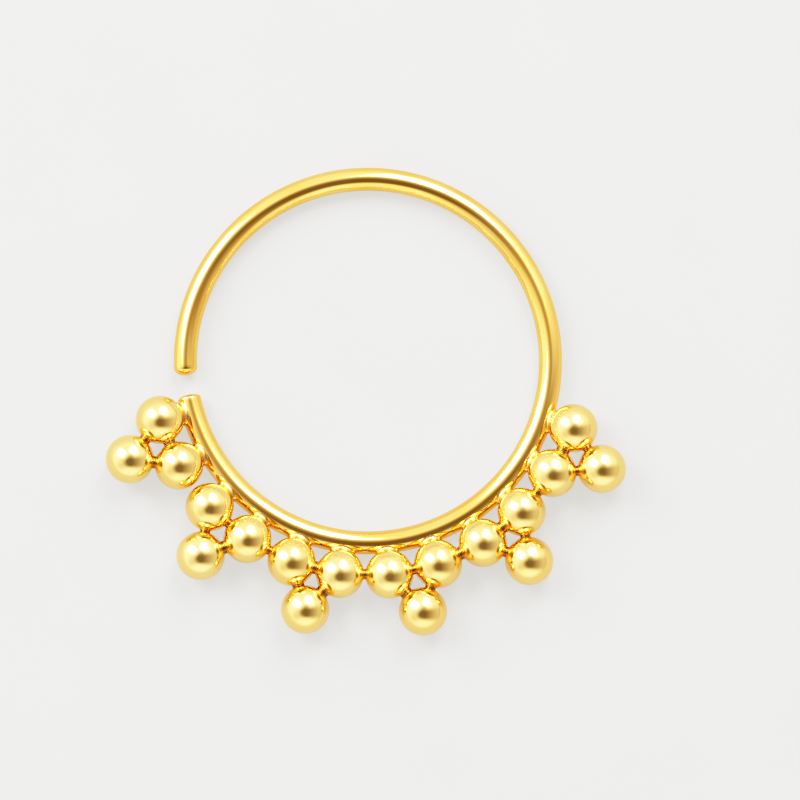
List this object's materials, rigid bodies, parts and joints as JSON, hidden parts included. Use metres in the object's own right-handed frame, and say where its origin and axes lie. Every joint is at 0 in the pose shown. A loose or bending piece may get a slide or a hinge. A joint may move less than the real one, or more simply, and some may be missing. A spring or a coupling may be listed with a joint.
{
  "type": "nose ring",
  "caption": "Open wire hoop nose ring, its lower outside edged with a soldered row of small round balls and outer balls nested on them, in polished yellow gold.",
  "frame": {"origin": "middle of the ring's box in plan, on the surface that it lies on", "axes": "+Z along the hoop's axis, up from the flat back that it lies on; the row of balls faces -Y; the hoop's opening faces -X"},
  "size_m": [0.0182, 0.0164, 0.0017],
  "materials": {
    "gold": "mirror polished yellow gold plate over brass"
  },
  "bodies": {
    "root": {"nose_ring": "gold"}
  },
  "joints": []
}
